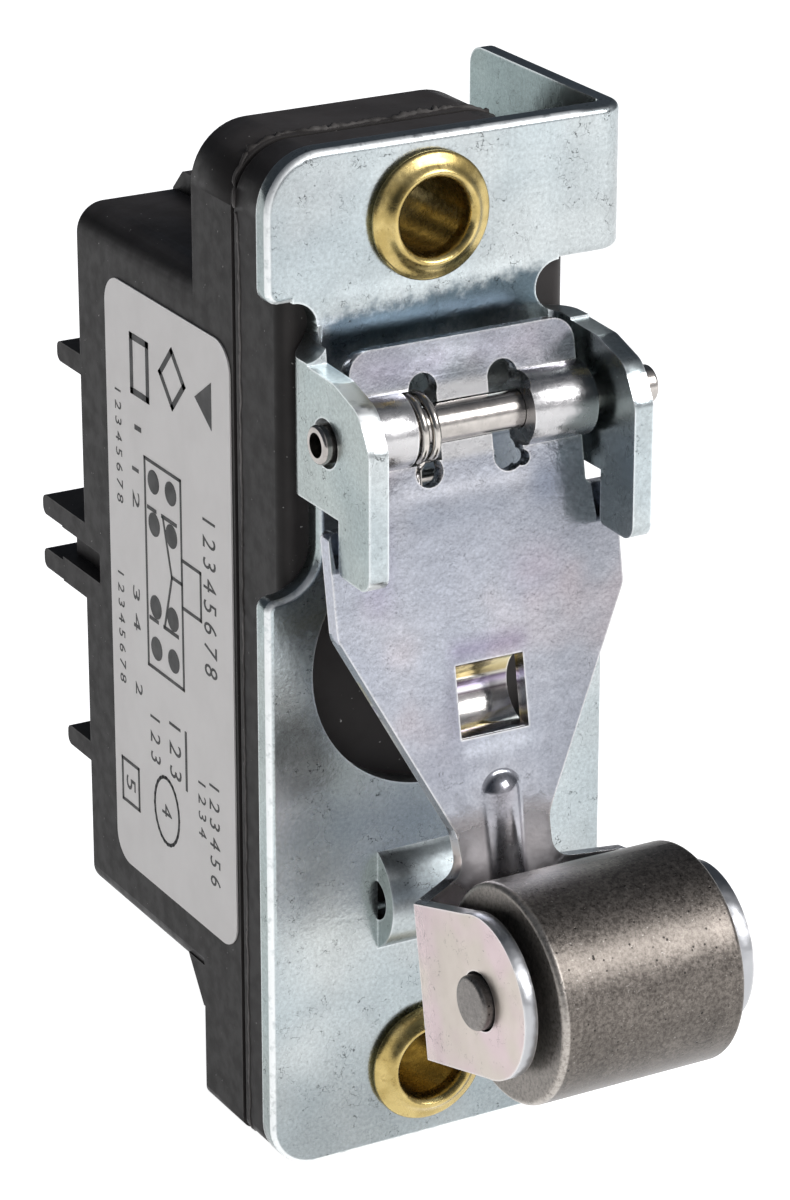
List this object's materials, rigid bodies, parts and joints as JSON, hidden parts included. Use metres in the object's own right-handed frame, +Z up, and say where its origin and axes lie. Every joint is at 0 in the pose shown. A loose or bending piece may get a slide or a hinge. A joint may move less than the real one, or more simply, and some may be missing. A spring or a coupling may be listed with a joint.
{
  "type": "limit switch",
  "caption": "Panel-mounted snap-action limit switch with a sprung roller lever, zinc plated bracket plate with brass eyelets and a black moulded contact block with screw terminals.",
  "frame": {"origin": "midway between the two mounting eyelets, on the front face of the mounting plate", "axes": "-Y out of the front towards the roller, +Y back to the terminals, +Z up along the eyelet line, +X right, where the plate is bent back"},
  "size_m": [0.0288, 0.0683, 0.0771],
  "materials": {
    "phenolic": "black-brown moulded phenolic, satin with fine moulding grain",
    "gasket": "dark fibre gasket, rough edge",
    "zinc_plate": "bright blue-white zinc plated steel sheet",
    "zinc_lever": "zinc plated steel sheet with faint iridescent passivation",
    "brass": "drawn brass, satin, slightly tarnished",
    "label": "printed polyester label, warm grey",
    "pin_steel": "polished steel pin",
    "spring_steel": "bright spring wire",
    "sintered": "porous sintered steel, oiled, brown-grey",
    "dark_steel": "dull brown-grey steel pin",
    "plunger_moulding": "black moulding, smooth",
    "rubber": "soft black rubber",
    "silver": "silver alloy contact buttons",
    "contact_brass": "stamped brass strip",
    "screw_steel": "zinc plated steel screws and clamps"
  },
  "bodies": {
    "switch_body": {"base_housing": "phenolic", "front_cover": "phenolic", "cover_gasket": "gasket", "mounting_plate": "zinc_plate", "upper_eyelet": "brass", "lower_eyelet": "brass", "side_label": "label", "pivot_pin": "pin_steel", "lever_return_spring": "spring_steel", "plunger_seal": "rubber", "plunger_return_spring": "spring_steel", "fixed_contacts": "silver", "terminal_screws": "screw_steel", "terminal_clamps": "screw_steel", "upper_snap_spring": "spring_steel", "lower_snap_spring": "spring_steel", "terminal_row1_left": "contact_brass", "terminal_row1_right": "contact_brass", "terminal_row2_left": "contact_brass", "terminal_row2_right": "contact_brass", "terminal_row3_left": "contact_brass", "terminal_row3_right": "contact_brass", "terminal_row4_left": "contact_brass", "terminal_row4_right": "contact_brass", "upper_rocker_pin": "pin_steel", "lower_rocker_pin": "pin_steel"},
    "lever_arm": {"lever": "zinc_lever", "roller_pin": "dark_steel"},
    "roller_body": {"roller": "sintered"},
    "plunger_body": {"plunger": "plunger_moulding"},
    "upper_pole": {"upper_rocker": "plunger_moulding", "upper_contact_bridge": "contact_brass", "upper_moving_contacts": "silver"},
    "lower_pole": {"lower_rocker": "plunger_moulding", "lower_contact_bridge": "contact_brass", "lower_moving_contacts": "silver"}
  },
  "joints": [
    {"name": "lever_pivot", "type": "hinge", "parent": "switch_body", "child": "lever_arm", "pos_m": [0.0007, -0.0044, 0.0188], "axis": [1, 0, 0], "range_deg": [0, 11.5], "stiffness_Nm_per_rad": 0.4, "springref_deg": -20.05, "deforming": ["lever_return_spring"]},
    {"name": "roller_spin", "type": "hinge", "parent": "lever_arm", "child": "roller_body", "pos_m": [0.0025, -0.01927, -0.01736], "axis": [1, 0, 0], "continuous": true},
    {"name": "plunger_slide", "type": "slide", "parent": "switch_body", "child": "plunger_body", "axis": [0, 1, 0], "range_m": [0, 0.004], "deforming": ["plunger_return_spring"]},
    {"name": "upper_pole_rock", "type": "hinge", "parent": "switch_body", "child": "upper_pole", "pos_m": [0.0007, 0.0175, 0.00425], "axis": [1, 0, 0], "range_deg": [-9.6, 0], "deforming": ["upper_snap_spring"]},
    {"name": "lower_pole_rock", "type": "hinge", "parent": "switch_body", "child": "lower_pole", "pos_m": [0.0007, 0.0175, -0.00455], "axis": [1, 0, 0], "range_deg": [0, 9.6], "deforming": ["lower_snap_spring"]}
  ],
  "couplings": [
    {"joint": "plunger_slide", "follows": "lever_pivot", "m_per_rad": 0.0194},
    {"joint": "upper_pole_rock", "follows": "lever_pivot", "ratio": -0.826},
    {"joint": "lower_pole_rock", "follows": "lever_pivot", "ratio": 0.826}
  ]
}
